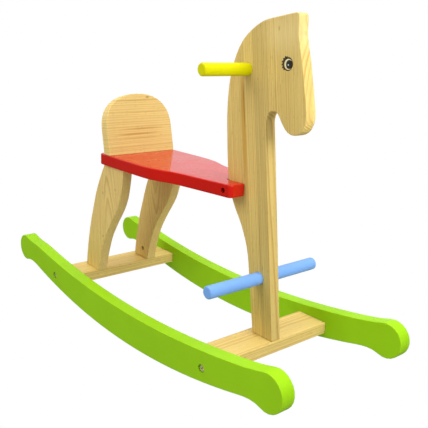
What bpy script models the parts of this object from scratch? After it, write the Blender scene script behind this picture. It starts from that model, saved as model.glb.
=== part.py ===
"""Child's rocking horse: two rockers, plank legs, slotted seat, backrest, horse-head board and fixings.

Metres, +Z up, +X the way the horse faces, +Y its left. The X sizes below are measured from where the
rockers touch the floor at Z = 0. The finished pieces are moved along X so that the origin is below
the middle of the rockers' whole length. Y = 0 is the middle of the head board and of the seat.
"""

import math

import bmesh
import bpy
from mathutils import Matrix, Vector

# Fits
GAP = 0.0003  # clearance between two pieces that touch
EASE = 0.0010  # rounding of the sawn boards' edges
EASE_STEPS = 2

# Rockers
ROCKER_THICKNESS = 0.022
ROCKER_GAUGE = 0.262  # across the outer faces of the two rockers
ROCKER_SOLE_RADIUS = 1.190  # arc that rolls on the floor
ROCKER_SOLE_HALF = 0.290  # half length of that arc, along X
ROCKER_TOP_RADIUS = 1.660
ROCKER_TOP_HALF = 0.272  # half length of the arc along the top edge
ROCKER_DEPTH = 0.0526  # sole to top edge at mid length
FRONT_KNOB = (0.3403, 0.0625, 0.0270)  # rounded end: distance from mid length, height, radius
REAR_KNOB = (0.3385, 0.0590, 0.0243)

# Cross boards between the rockers
CROSS_X = 0.202  # centre line of each board, fore and aft
CROSS_WIDTH = 0.056
CROSS_THICKNESS = 0.018
CROSS_UNDERSIDE = {1: 0.0304, -1: 0.0294}  # of the front board (1) and the rear board (-1)
CROSS_LENGTH = ROCKER_GAUGE - 2 * ROCKER_THICKNESS - 2 * GAP

# Seat
SEAT_TOP = 0.2718
SEAT_THICKNESS = 0.0195
SEAT_UNDERSIDE = SEAT_TOP - SEAT_THICKNESS
SEAT_REAR_X = -0.1575
SEAT_FRONT_X = 0.1535
SEAT_REAR_HALF = 0.0685
SEAT_WAIST_HALF = 0.0505
SEAT_FRONT_HALF = 0.0378
SEAT_SHOULDER_X = -0.020  # where the wide rear part starts to narrow
SEAT_WAIST_X = 0.048
SEAT_CORNER = 0.007
SEAT_EASE = 0.0020  # its edges are rounder than the other boards'

# Head board, in its own frame: across (towards the nose) and along (up) from its front foot corner
HEAD_THICKNESS = 0.018
HEAD_LEAN = math.radians(7.5)
HEAD_FOOT_X = 0.2277  # front foot corner, on the front cross board
HEAD_FOOT_WIDTH = 0.0412
SLOT_REAR_GAP = 0.0008  # behind the head board, at the end wall of the seat's slot
SLOT_RELIEF_RADIUS = 0.0044
HEAD_HOLE_STEPS = 28  # sides of the two round holes for the dowels

# Dowels
DOWEL_ROUNDING = 0.0024  # of the rim at each end
HANDLE_X = 0.1465
HANDLE_Z = 0.4339
HANDLE_DIAMETER = 0.018
HANDLE_LENGTH = 0.185
FOOTREST_X = 0.1935
FOOTREST_Z = 0.1374
FOOTREST_DIAMETER = 0.019
FOOTREST_LENGTH = 0.215

# Backrest
BACKREST_THICKNESS = 0.018
BACKREST_HALF = 0.0676
BACKREST_HEIGHT = 0.104  # along its leaning face
BACKREST_SPRING = 0.045  # height where the rounded top starts
BACKREST_ROUNDNESS = 2.3  # exponent of the rounded top; 2 would be an ellipse
BACKREST_LEAN = math.radians(12.0)
BACKREST_FACE_X = -0.124  # front face where it meets the seat
BACKREST_SCREW_X = BACKREST_FACE_X - 0.011
BACKREST_SCREW_Y = 0.024

# Rear legs
LEG_THICKNESS = 0.018
LEG_Y = 0.0545
LEG_FOOT_REAR_X = -0.2165
LEG_FOOT_FRONT_X = -0.1722
LEG_BOLT_X = LEG_FOOT_REAR_X + 0.0275
LEG_FOOT_PIN_X = LEG_FOOT_REAR_X + 0.0135
LEG_SCREW_X = BACKREST_FACE_X - 0.009
LEG_TOP_PIN_X = -0.1085

# Fixings
BOLT_DIAMETER = 0.006
BOLT_HEAD_DIAMETER = 0.010
BOLT_HEAD_HEIGHT = 0.006
BOLT_SOCKET = 0.005  # across flats
BOLT_SOCKET_DEPTH = 0.003
COUNTERBORE_DIAMETER = 0.0127
COUNTERBORE_DEPTH = 0.0085
NUT_DIAMETER = 0.010
NUT_LENGTH = 0.012
LEG_BOLT_DIAMETER = 0.005
LEG_NUT_DIAMETER = 0.0078
LEG_NUT_RISE = 0.0185  # nut centre above the foot of its board
LEG_NUT_SINK = 0.0045  # how far the nut stays inside its hole
LEG_NUT_WALL = 0.0028  # wood left at the blind end of that hole
UPRIGHT_BOLT_SINK = 0.0075  # counterbore under a cross board, for the bolt of a leg or of the head board
UPRIGHT_BOLT_TIP = 0.009  # depth of that bolt's hole past the nut's centre
PIN_DIAMETER = 0.008
PIN_LENGTH = 0.030
PIN_IN_RAIL = 0.0105  # depth of its hole in a rocker, a cross board or the seat
PIN_IN_BOARD = 0.0205  # depth of its hole in the piece that stands on it
ROCKER_BOLT_X = 0.2150
ROCKER_PIN_X = 0.1885
ROCKER_BOLT_REACH = 0.028  # nut centre inside the end of the cross board
SEAT_BOLT_X = 0.139
SEAT_BOLT_SINK = 0.0072  # depth of the recess round each head
SEAT_BOLT_HEAD_DIAMETER = 0.0068
SEAT_BOLT_HEAD_HEIGHT = 0.0022
SEAT_SLEEVE_DIAMETER = 0.0060
SEAT_BOLT_CORE = 0.0038  # diameter of the thin end that screws into the sleeve nut
SCREW_DIAMETER = 0.0045
SCREW_HEAD_DIAMETER = 0.0085
LEG_SCREW_LENGTH = 0.048
BACKREST_SCREW_LENGTH = 0.038

FINISHES = {
    "lime_paint": ((0.28, 0.54, 0.012, 1.0), 0.35, 0.0),
    "red_gloss": ((0.52, 0.008, 0.005, 1.0), 0.12, 0.0),
    "pine": ((0.69, 0.49, 0.19, 1.0), 0.48, 0.0),
    "yellow_paint": ((0.82, 0.72, 0.004, 1.0), 0.35, 0.0),
    "blue_paint": ((0.24, 0.48, 0.86, 1.0), 0.35, 0.0),
    "zinc": ((0.62, 0.56, 0.40, 1.0), 0.35, 0.9),
    "beech_pin": ((0.60, 0.42, 0.22, 1.0), 0.6, 0.0),
}


def cross_top(sign):
    """Height of the upper face of the front (1) or rear (-1) cross board."""
    return CROSS_UNDERSIDE[sign] + CROSS_THICKNESS


def cross_mid(sign):
    """Height of the middle of a cross board, where its bolts and pins run."""
    return CROSS_UNDERSIDE[sign] + CROSS_THICKNESS / 2


def clear_scene():
    """Remove every object that is already in the file."""
    for obj in list(bpy.data.objects):
        bpy.data.objects.remove(obj, do_unlink=True)


def finish(obj, kind):
    """Give an object its own paint, wood or metal."""
    colour, roughness, metallic = FINISHES[kind]
    material = bpy.data.materials.new(f"{obj.name}_{kind}")
    material.use_nodes = True
    shader = material.node_tree.nodes["Principled BSDF"]
    shader.inputs["Base Color"].default_value = colour
    shader.inputs["Roughness"].default_value = roughness
    shader.inputs["Metallic"].default_value = metallic
    material.diffuse_color = colour
    obj.data.materials.append(material)
    return obj


def add_object(name, bm, location=(0, 0, 0), rotation=None):
    """Turn a bmesh into a smooth-shaded object whose flat faces stay flat."""
    bmesh.ops.recalc_face_normals(bm, faces=bm.faces)
    mesh = bpy.data.meshes.new(name)
    bm.to_mesh(mesh)
    bm.free()
    mesh.shade_smooth()
    mesh.set_sharp_from_angle(angle=math.radians(35))
    obj = bpy.data.objects.new(name, mesh)
    bpy.context.scene.collection.objects.link(obj)
    obj.location = location
    if rotation is not None:
        obj.rotation_euler = rotation
    return obj


def as_cutter(obj):
    """Mark an object as a cutting tool that is not part of the toy."""
    obj.hide_render = True
    obj.display_type = "WIRE"
    return obj


def cut(obj, *cutters):
    """Subtract each cutter from the object."""
    for cutter in cutters:
        modifier = obj.modifiers.new(f"cut_{len(obj.modifiers)}", "BOOLEAN")
        modifier.operation = "DIFFERENCE"
        modifier.solver = "EXACT"
        modifier.object = as_cutter(cutter)
    return obj


def ease_edges(obj, width=EASE, steps=EASE_STEPS):
    """Round the sawn edges, where two faces meet at more than 50 degrees."""
    modifier = obj.modifiers.new("ease", "BEVEL")
    modifier.width = width
    modifier.segments = steps
    modifier.limit_method = "ANGLE"
    modifier.angle_limit = math.radians(50)
    return obj


def arc(cx, cz, radius, start, end, steps):
    """Points on a circle from one angle to another, in degrees."""
    turn = [math.radians(start + (end - start) * i / steps) for i in range(steps + 1)]
    return [(cx + radius * math.cos(a), cz + radius * math.sin(a)) for a in turn]


def flow(anchors, step=0.011):
    """A smooth line through anchors (x, z, heading in degrees), sampled by its turn and length.

    Each stretch is a cubic whose end tangents are as long as the straight distance.
    """
    points = [anchors[0][:2]]
    for (x0, z0, h0), (x1, z1, h1) in zip(anchors, anchors[1:]):
        span = math.hypot(x1 - x0, z1 - z0)
        a, b = math.radians(h0), math.radians(h1)
        t0 = (span * math.cos(a), span * math.sin(a))
        t1 = (span * math.cos(b), span * math.sin(b))
        chord = math.degrees(math.atan2(z1 - z0, x1 - x0))
        swing = abs((h0 - chord + 180) % 360 - 180) + abs((h1 - chord + 180) % 360 - 180)
        count = 1 if swing < 0.5 else max(2, round(span / step), round(swing / 16))
        for i in range(1, count + 1):
            t = i / count
            a0, a1 = 2 * t**3 - 3 * t**2 + 1, t**3 - 2 * t**2 + t
            a2, a3 = 3 * t**2 - 2 * t**3, t**3 - t**2
            points.append(
                (
                    a0 * x0 + a1 * t0[0] + a2 * x1 + a3 * t1[0],
                    a0 * z0 + a1 * t0[1] + a2 * z1 + a3 * t1[1],
                )
            )
    return points


def board(name, outline, thickness, location=(0, 0, 0), flat=False):
    """A board sawn to an outline. It stands in the XZ plane, or lies in XY when flat."""
    bm = bmesh.new()
    half = thickness / 2
    if flat:
        low = [bm.verts.new((x, y, -half)) for x, y in outline]
        push = Vector((0, 0, thickness))
    else:
        low = [bm.verts.new((x, -half, z)) for x, z in outline]
        push = Vector((0, thickness, 0))
    face = bm.faces.new(low)
    grown = bmesh.ops.extrude_face_region(bm, geom=[face])
    moved = [item for item in grown["geom"] if isinstance(item, bmesh.types.BMVert)]
    bmesh.ops.translate(bm, vec=push, verts=moved)
    return add_object(name, bm, location)


def turned(name, profile, location, axis, steps=20):
    """A round piece along an axis: profile is a list of (distance along, radius)."""
    bm = bmesh.new()
    rings = []
    for along, radius in profile:
        ring = []
        for i in range(steps):
            a = 2 * math.pi * (i + 0.5) / steps
            ring.append(bm.verts.new((radius * math.cos(a), radius * math.sin(a), along)))
        rings.append(ring)
    for low, high in zip(rings, rings[1:]):
        for i in range(steps):
            j = (i + 1) % steps
            bm.faces.new((low[i], low[j], high[j], high[i]))
    bm.faces.new(list(reversed(rings[0])))
    bm.faces.new(rings[-1])
    rotation = Vector((0, 0, 1)).rotation_difference(Vector(axis)).to_euler()
    return add_object(name, bm, location, rotation)


def drill(name, diameter, start, axis, depth, steps=20):
    """A cutter for a round hole that starts at a point and runs along an axis."""
    return turned(name, [(0, diameter / 2), (depth, diameter / 2)], start, axis, steps)


def step_drill(name, head, head_depth, shank, depth, start, axis, steps=20):
    """A cutter for a counterbored hole."""
    profile = [
        (-0.002, head / 2),
        (head_depth, head / 2),
        (head_depth, shank / 2),
        (depth, shank / 2),
    ]
    return turned(name, profile, start, axis, steps)


def cap_bolt(name, location, axis, length, diameter=BOLT_DIAMETER):
    """A cap bolt with a hexagon socket. The location is under its head; the axis runs to its tip."""
    head, radius = BOLT_HEAD_DIAMETER / 2, diameter / 2
    chamfer = 0.0006
    profile = [
        (-BOLT_HEAD_HEIGHT, head - chamfer),
        (-BOLT_HEAD_HEIGHT + chamfer, head),
        (0, head),
        (0, radius),
        (length - chamfer, radius),
        (length, radius - chamfer),
    ]
    bolt = turned(name, profile, location, axis, 16)
    socket_radius = BOLT_SOCKET / math.sqrt(3)
    top = Vector(location) - Vector(axis) * (BOLT_HEAD_HEIGHT + 0.001)
    profile = [(0, socket_radius), (BOLT_SOCKET_DEPTH + 0.001, socket_radius)]
    cut(bolt, turned(f"cut_{name}_socket", profile, top, axis, 6))
    return finish(bolt, "zinc")


def barrel_nut(name, centre, axis, bolt, bolt_axis, diameter, length, bolt_diameter):
    """A cylinder cross-drilled for a bolt, whose centre line passes through the point called bolt."""
    start = Vector(centre) - Vector(axis) * (length / 2)
    chamfer = 0.0004
    radius = diameter / 2
    profile = [(0, radius - chamfer), (chamfer, radius), (length, radius)]
    nut = turned(name, profile, start, axis, 16)
    hole = bolt_diameter + 2 * GAP
    begin = Vector(bolt) - Vector(bolt_axis) * diameter
    cut(nut, drill(f"cut_{name}_thread", hole, begin, bolt_axis, 2 * diameter, 12))
    return finish(nut, "zinc")


def peg(name, start, axis):
    """A glued wooden pin with bevelled ends."""
    radius, bevel = PIN_DIAMETER / 2, 0.0008
    low, high = (0, radius - bevel), (PIN_LENGTH, radius - bevel)
    profile = [low, (bevel, radius), (PIN_LENGTH - bevel, radius), high]
    return finish(turned(name, profile, start, axis, 12), "beech_pin")


def pin_drill(name, start, axis, depth):
    """A cutter for a pin's hole: the start is on the surface, and the cutter begins 1 mm outside it."""
    begin = Vector(start) - Vector(axis) * 0.001
    return drill(name, PIN_DIAMETER + 2 * GAP, begin, axis, depth + 0.001, 12)


def screw_profile(length, spare):
    """A countersunk screw from head to tip, as (distance, radius), with its radii made larger by spare."""
    rim, radius, head = 0.0006 + spare / 2, SCREW_DIAMETER / 2 + spare, SCREW_HEAD_DIAMETER / 2 + spare
    return [(rim, head), (rim + head - radius, radius), (length + spare, radius)]


def wood_screw(name, head_centre, axis, length):
    """A countersunk screw. The location is the middle of its flat head."""
    rim, neck, _ = screw_profile(length, 0)
    profile = [(0, rim[1]), rim, neck, (length - 0.003, neck[1]), (length, 0.0008)]
    return finish(turned(name, profile, head_centre, axis, 12), "zinc")


def screw_cutter(name, head_centre, axis, length):
    """The pilot and countersink for a wood screw, a clearance larger all round."""
    body = screw_profile(length, GAP)
    return turned(name, [(-0.002, body[0][1]), *body], head_centre, axis, 16)


def rocker_end(knob):
    """Half of a rocker's outline, from mid sole out round one knob and back to mid top."""
    x, z, radius = knob
    reach, rise = ROCKER_SOLE_HALF, ROCKER_SOLE_RADIUS
    lift = rise - math.sqrt(rise**2 - reach**2)
    slope = math.degrees(math.asin(reach / rise))
    top_lift = ROCKER_DEPTH + ROCKER_TOP_RADIUS - math.sqrt(ROCKER_TOP_RADIUS**2 - ROCKER_TOP_HALF**2)
    top_slope = math.degrees(math.asin(ROCKER_TOP_HALF / ROCKER_TOP_RADIUS))
    end = arc(x, z, radius, -110, 108, 14)
    sole = arc(0, rise, rise, -90, -90 + slope, 12)
    under = flow([(reach, lift, slope), (*end[0], -20)], 0.010)
    over = flow([(*end[-1], 198), (ROCKER_TOP_HALF, top_lift, 180 + top_slope)], 0.012)
    crown = arc(0, ROCKER_DEPTH + ROCKER_TOP_RADIUS, ROCKER_TOP_RADIUS, -90 + top_slope, -90, 12)
    return sole + under[1:] + end[1:] + over[1:] + crown[1:]


def rocker_outline():
    """One rocker from the side: two long arcs and a knob with a small neck at each end."""
    rear = [(-x, z) for x, z in reversed(rocker_end(REAR_KNOB)[1:-1])]
    return rocker_end(FRONT_KNOB) + rear


def rocker_middle():
    """Where the middle of the rocker's whole length falls along X."""
    front, rear = FRONT_KNOB[0] + FRONT_KNOB[2], REAR_KNOB[0] + REAR_KNOB[2]
    return (front - rear) / 2


def make_rocker(name, side):
    """A rocker with counterbored bolt holes and blind pin holes for both cross boards."""
    y = side * (ROCKER_GAUGE - ROCKER_THICKNESS) / 2
    rocker = board(name, rocker_outline(), ROCKER_THICKNESS, (0, y, 0))
    ease_edges(rocker)
    outer, inner = side * ROCKER_GAUGE / 2, side * (ROCKER_GAUGE / 2 - ROCKER_THICKNESS)
    shank = BOLT_DIAMETER + 2 * GAP
    for end, sign in (("front", 1), ("rear", -1)):
        start = (sign * ROCKER_BOLT_X, outer, cross_mid(sign))
        bore = (COUNTERBORE_DIAMETER, COUNTERBORE_DEPTH, shank, 0.030)
        bolt = step_drill(f"cut_{name}_{end}_bolt", *bore, start, (0, -side, 0), 24)
        start = (sign * ROCKER_PIN_X, inner, cross_mid(sign))
        cut(rocker, bolt, pin_drill(f"cut_{name}_{end}_pin", start, (0, side, 0), PIN_IN_RAIL))
    return finish(rocker, "lime_paint")


def cross_blank(name, sign):
    """A plain cross board with its long edges rounded."""
    bm = bmesh.new()
    size = Matrix.Diagonal((CROSS_WIDTH, CROSS_LENGTH, CROSS_THICKNESS, 1))
    bmesh.ops.create_cube(bm, size=1, matrix=size)
    long_edges = [e for e in bm.edges if abs(e.verts[0].co.y - e.verts[1].co.y) > 0.01]
    bmesh.ops.bevel(bm, geom=long_edges, offset=EASE, segments=EASE_STEPS, profile=0.5, affect="EDGES")
    return add_object(name, bm, (sign * CROSS_X, 0, cross_mid(sign)))


def make_cross_board(name, sign, up_bolts, up_pins):
    """A board between the rockers, drilled from both ends and from below."""
    cross = cross_blank(name, sign)
    mid, under = cross_mid(sign), CROSS_UNDERSIDE[sign]
    bolt_x, pin_x = sign * ROCKER_BOLT_X, sign * ROCKER_PIN_X
    shank, nut_hole = BOLT_DIAMETER + 2 * GAP, NUT_DIAMETER + 2 * GAP
    up, nut_depth = (0, 0, 1), 0.001 + CROSS_THICKNESS / 2 + NUT_LENGTH / 2 + GAP
    for side, word in ((1, "left"), (-1, "right")):
        end, inwards = side * CROSS_LENGTH / 2, (0, -side, 0)
        start = (bolt_x, end + side * 0.001, mid)
        bolt = drill(f"cut_{name}_{word}_bolt", shank, start, inwards, ROCKER_BOLT_REACH + 0.010, 12)
        pin = pin_drill(f"cut_{name}_{word}_pin", (pin_x, end, mid), inwards, PIN_IN_BOARD)
        start = (bolt_x, side * (CROSS_LENGTH / 2 - ROCKER_BOLT_REACH), under - 0.001)
        nut = drill(f"cut_{name}_{word}_nut", nut_hole, start, up, nut_depth, 16)
        cut(cross, bolt, pin, nut)
    bore = (COUNTERBORE_DIAMETER, UPRIGHT_BOLT_SINK, LEG_BOLT_DIAMETER + 2 * GAP, 0.030)
    for i, (x, y) in enumerate(up_bolts):
        cut(cross, step_drill(f"cut_{name}_up_bolt_{i}", *bore, (x, y, under), up, 16))
    for i, (x, y) in enumerate(up_pins):
        top = (x, y, cross_top(sign))
        cut(cross, pin_drill(f"cut_{name}_up_pin_{i}", top, (0, 0, -1), PIN_IN_RAIL))
    return finish(cross, "pine")


def head_outline():
    """The head board's outline, from the front foot corner round by the nose, crown and mane.

    Each stretch is a list of (across, along, heading) in millimetres and degrees, in the board's own frame.
    """
    mm = 0.001
    front = [(0, 0, 89.5), (2.6, 300, 89.5), (2.8, 318, 90), (13.0, 333.2, 5), (20.5, 333.2, -8)]
    chin = [(20.5, 333.2, -8), (28.0, 325.6, -62), (37.8, 309.0, -52), (54.5, 300.6, 2), (70, 307.5, 46)]
    nose = [(70, 307.5, 46), (77.2, 323, 86), (77, 340, 94), (73, 385, 95), (68.5, 418, 98), (67.2, 431, 93)]
    brow = [(67.2, 431, 93), (68.6, 444, 86), (68.9, 452.6, 96), (64.4, 457, 179), (22, 455.8, 181)]
    crown = [(22, 455.8, 181), (-8.5, 450, 203), (-37.8, 433, 222), (-59, 404, 242)]
    mane = [(-59, 404, 242), (-73, 363, 259), (-79, 318, 267.5), (-80.8, 240, 272)]
    nape = [(-80.8, 240, 272), (-76.3, 212, 289), (-60.5, 177, 300), (-49, 146, 288), (-43.8, 112, 273)]
    foot = HEAD_FOOT_WIDTH / mm
    heel = foot * math.cos(HEAD_LEAN), foot * math.sin(HEAD_LEAN)
    line = []
    for part in (front, chin, nose, brow, crown, mane, nape):
        line += flow([(a * mm, b * mm, h) for a, b, h in part])[:-1]
    line += [(-43.8 * mm, 112 * mm), (-heel[0] * mm, heel[1] * mm)]
    lean = (math.cos(HEAD_LEAN), math.sin(HEAD_LEAN))
    base = cross_top(1) + GAP
    return [(HEAD_FOOT_X + a * lean[0] - b * lean[1], base + a * lean[1] + b * lean[0]) for a, b in line]


def slot_end_x():
    """End wall of the seat's slot, just behind the head board where it passes the seat."""
    ring = head_outline()
    level = SEAT_UNDERSIDE, SEAT_TOP
    rear = []
    for (xa, za), (xb, zb) in zip(ring, ring[1:] + ring[:1]):
        low, high = max(min(za, zb), level[0]), min(max(za, zb), level[1])
        if low < high:
            rear += [xa + (xb - xa) * (z - za) / (zb - za) for z in (low, high)]
    return min(rear) - SLOT_REAR_GAP


def neck_bolt_x():
    """Where the head board's bolt stands in its foot; the pin is in front of it."""
    return HEAD_FOOT_X - HEAD_FOOT_WIDTH * 0.66


def neck_pin_x():
    """Where the pin in the head board's foot stands, in front of the bolt."""
    return HEAD_FOOT_X - HEAD_FOOT_WIDTH * 0.26


def foot_drills(name, x, y, pin_x, base, thickness, nut_side):
    """Cutters for an upright board's foot: bolt hole, pin hole and the blind cross hole for the nut."""
    up, across = (0, 0, 1), (0, nut_side, 0)
    start = (x, y, base - 0.002)
    depth = LEG_NUT_RISE + UPRIGHT_BOLT_TIP
    bolt = drill(f"cut_{name}_bolt", LEG_BOLT_DIAMETER + 2 * GAP, start, up, depth, 12)
    pin = pin_drill(f"cut_{name}_pin", (pin_x, y, base), up, PIN_IN_BOARD)
    blind = y - nut_side * (thickness / 2 - LEG_NUT_WALL)
    start = (x, blind, base + LEG_NUT_RISE)
    nut = drill(f"cut_{name}_nut", LEG_NUT_DIAMETER + 2 * GAP, start, across, 1.5 * thickness, 16)
    return bolt, pin, nut


def make_head():
    """The upright head board, drilled for the handle, the footrest and its fixings."""
    head = board("head_board", head_outline(), HEAD_THICKNESS)
    ease_edges(head)
    holes = (
        ("handle", HANDLE_DIAMETER, HANDLE_X, HANDLE_Z, HEAD_HOLE_STEPS),
        ("footrest", FOOTREST_DIAMETER, FOOTREST_X, FOOTREST_Z, HEAD_HOLE_STEPS),
        ("seat_bolt", SEAT_SLEEVE_DIAMETER, SEAT_BOLT_X, SEAT_TOP - SEAT_THICKNESS / 2, 16),
    )
    for word, diameter, x, z, steps in holes:
        start = (x, -HEAD_THICKNESS, z)
        through = drill(f"cut_head_{word}", diameter + 2 * GAP, start, (0, 1, 0), 2 * HEAD_THICKNESS, steps)
        cut(head, through)
    base = cross_top(1) + GAP
    cut(head, *foot_drills("head", neck_bolt_x(), 0, neck_pin_x(), base, HEAD_THICKNESS, 1))
    return finish(head, "pine")


def make_dowel(name, diameter, length, x, z, kind):
    """A straight round bar across the horse, with a rounded rim at both ends."""
    radius, rim = diameter / 2, DOWEL_ROUNDING
    turn = [math.pi / 2 * i / 3 for i in range(4)]
    near = [(rim - rim * math.cos(a), radius - rim + rim * math.sin(a)) for a in turn]
    far = [(length - along, size) for along, size in reversed(near)]
    return finish(turned(name, near + far, (x, -length / 2, z), (0, 1, 0), 28), kind)


def seat_outline():
    """The seat from above: wide behind, narrowing in an S to two prongs beside the head board."""
    r = SEAT_CORNER
    side = flow(
        [
            (SEAT_REAR_X + r, SEAT_REAR_HALF, 0),
            (SEAT_SHOULDER_X, SEAT_REAR_HALF - 0.0005, -2),
            ((SEAT_SHOULDER_X + SEAT_WAIST_X) / 2, (SEAT_REAR_HALF + SEAT_WAIST_HALF) / 2 + 0.001, -22),
            (SEAT_WAIST_X, SEAT_WAIST_HALF, -8),
            (SEAT_FRONT_X - r, SEAT_FRONT_HALF, -7),
        ],
        0.02,
    )
    front = arc(SEAT_FRONT_X - r, SEAT_FRONT_HALF - r, r, 83, 0, 5)
    rear = arc(SEAT_REAR_X + r, SEAT_REAR_HALF - r, r, 180, 90, 5)
    slot = HEAD_THICKNESS / 2 + GAP
    notch = [(SEAT_FRONT_X, slot), (slot_end_x(), slot)]
    half = rear[:-1] + side[:-1] + front + notch
    return half + [(x, -y) for x, y in reversed(half)]


def seat_half_width(x):
    """Half width of the tapering front part of the seat."""
    t = (x - SEAT_WAIST_X) / (SEAT_FRONT_X - SEAT_CORNER - SEAT_WAIST_X)
    return SEAT_WAIST_HALF + (SEAT_FRONT_HALF - SEAT_WAIST_HALF) * t


def make_seat():
    """The seat board with its slot, slot reliefs, cross-bolt hole and screw and pin holes."""
    mid = SEAT_TOP - SEAT_THICKNESS / 2
    seat = board("seat_board", seat_outline(), SEAT_THICKNESS, (0, 0, mid), flat=True)
    ease_edges(seat, SEAT_EASE)
    slot = HEAD_THICKNESS / 2 + GAP
    head, sleeve = SEAT_BOLT_HEAD_DIAMETER + 4 * GAP, SEAT_SLEEVE_DIAMETER + 2 * GAP
    up, down = (0, 0, 1), (0, 0, -1)
    for side, word in ((1, "left"), (-1, "right")):
        corner = (slot_end_x() + SLOT_RELIEF_RADIUS * 0.8, side * slot, SEAT_UNDERSIDE - 0.001)
        through = 1.1 * SEAT_THICKNESS
        relief = drill(f"cut_seat_relief_{word}", 2 * SLOT_RELIEF_RADIUS, corner, up, through, 16)
        start = (SEAT_BOLT_X, side * seat_half_width(SEAT_BOLT_X), mid)
        bore = (head, SEAT_BOLT_SINK, sleeve, 0.050)
        bolt = step_drill(f"cut_seat_bolt_{word}", *bore, start, (0, -side, 0), 16)
        start = (LEG_SCREW_X, side * LEG_Y, SEAT_TOP - GAP)
        leg_screw = screw_cutter(f"cut_seat_leg_screw_{word}", start, down, LEG_SCREW_LENGTH + 0.002)
        start = (LEG_TOP_PIN_X, side * LEG_Y, SEAT_UNDERSIDE)
        leg_pin = pin_drill(f"cut_seat_leg_pin_{word}", start, up, PIN_IN_RAIL)
        start = (BACKREST_SCREW_X, side * BACKREST_SCREW_Y, SEAT_UNDERSIDE + GAP)
        back_screw = screw_cutter(f"cut_seat_back_screw_{word}", start, up, BACKREST_SCREW_LENGTH + 0.002)
        cut(seat, relief, bolt, leg_screw, leg_pin, back_screw)
    return finish(seat, "red_gloss")


def backrest_outline():
    """The backrest across its face: straight sides, then a rounded top. It runs below the seat's top."""
    power = 2 / BACKREST_ROUNDNESS
    rise = BACKREST_HEIGHT - BACKREST_SPRING
    top = []
    for i in range(21):
        c, s = math.cos(math.pi * i / 20), math.sin(math.pi * i / 20)
        y = BACKREST_HALF * math.copysign(abs(c) ** power, c)
        top.append((y, BACKREST_SPRING + rise * s**power))
    foot = SEAT_REAR_HALF - 0.0005
    return [(-foot, -0.02), (foot, -0.02), (foot, 0.004), *top, (-foot, 0.004)]


def make_backrest():
    """The rounded backrest, leaning backwards, with its foot cut level to stand on the seat."""
    back = board("backrest", backrest_outline(), BACKREST_THICKNESS)
    lean = Matrix.Rotation(-BACKREST_LEAN, 3, "Y") @ Matrix.Rotation(math.pi / 2, 3, "Z")
    back.rotation_euler = lean.to_euler()
    middle = BACKREST_THICKNESS / 2
    back.location.x = BACKREST_FACE_X - middle * math.cos(BACKREST_LEAN)
    back.location.z = SEAT_TOP - middle * math.sin(BACKREST_LEAN)
    ease_edges(back)
    bm = bmesh.new()
    bmesh.ops.create_cube(bm, size=0.3)
    cut(back, add_object("cut_backrest_foot", bm, (BACKREST_FACE_X, 0, SEAT_TOP + GAP - 0.15)))
    for side, word in ((1, "left"), (-1, "right")):
        place = (BACKREST_SCREW_X, side * BACKREST_SCREW_Y, SEAT_UNDERSIDE)
        hole = drill(f"cut_back_screw_{word}", SCREW_DIAMETER + 2 * GAP, place, (0, 0, 1), 0.04, 12)
        cut(back, hole)
    return finish(back, "pine")


def leg_outline():
    """A rear leg from the side: a haunch that narrows and sweeps back to the foot.

    Each side is a list of (X, Z, heading) in millimetres and degrees.
    """
    mm, foot, top = 0.001, cross_top(-1) + GAP, SEAT_UNDERSIDE - GAP
    heel, toe = LEG_FOOT_REAR_X / mm, LEG_FOOT_FRONT_X / mm
    rear = [(heel, foot / mm, 86), (-206, 111, 78), (-192, 159, 71)]
    haunch = [(-192, 159, 71), (-173.5, 209, 64), (-149.5, top / mm, 57)]
    knee = [(-88.5, top / mm, 270), (-95, 212, 258), (-119.3, 163, 232), (-146.3, 123, 238)]
    shin = [(-146.3, 123, 238), (-162.3, 85, 250), (toe, foot / mm, 261)]
    points = flow(rear, 14)[:-1] + flow(haunch, 14) + flow(knee, 14)[:-1] + flow(shin, 14)
    return [(x * mm, z * mm) for x, z in points]


def make_leg(name, side):
    """A rear leg, with a cross hole for its nut on the inner face."""
    leg = board(name, leg_outline(), LEG_THICKNESS, (0, side * LEG_Y, 0))
    ease_edges(leg)
    y, top, down = side * LEG_Y, SEAT_UNDERSIDE - GAP, (0, 0, -1)
    base = cross_top(-1) + GAP
    foot = foot_drills(name, LEG_BOLT_X, y, LEG_FOOT_PIN_X, base, LEG_THICKNESS, -side)
    start = (LEG_SCREW_X, y, top + 0.002)
    screw = drill(f"cut_{name}_screw", SCREW_DIAMETER + 2 * GAP, start, down, 0.036, 12)
    pin = pin_drill(f"cut_{name}_top_pin", (LEG_TOP_PIN_X, y, top), down, PIN_IN_BOARD)
    cut(leg, *foot, screw, pin)
    return finish(leg, "pine")


def rocker_fixings(side, word):
    """Bolts, nuts and pins that hold one rocker to both cross boards."""
    seat_face = side * (ROCKER_GAUGE / 2 - COUNTERBORE_DEPTH + GAP)
    inner = side * (ROCKER_GAUGE / 2 - ROCKER_THICKNESS)
    nut_y = side * (CROSS_LENGTH / 2 - ROCKER_BOLT_REACH)
    axis, length = (0, -side, 0), abs(seat_face - nut_y) + NUT_DIAMETER / 2 + 0.001
    sizes = (NUT_DIAMETER, NUT_LENGTH, BOLT_DIAMETER)
    for end, sign in (("front", 1), ("rear", -1)):
        x, z = sign * ROCKER_BOLT_X, cross_mid(sign)
        cap_bolt(f"rocker_bolt_{end}_{word}", (x, seat_face, z), axis, length)
        centre = (x, nut_y, z)
        barrel_nut(f"rocker_nut_{end}_{word}", centre, (0, 0, 1), centre, axis, *sizes)
        start = (sign * ROCKER_PIN_X, inner + side * (PIN_IN_RAIL - 2 * GAP), z)
        peg(f"rocker_pin_{end}_{word}", start, axis)


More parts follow.
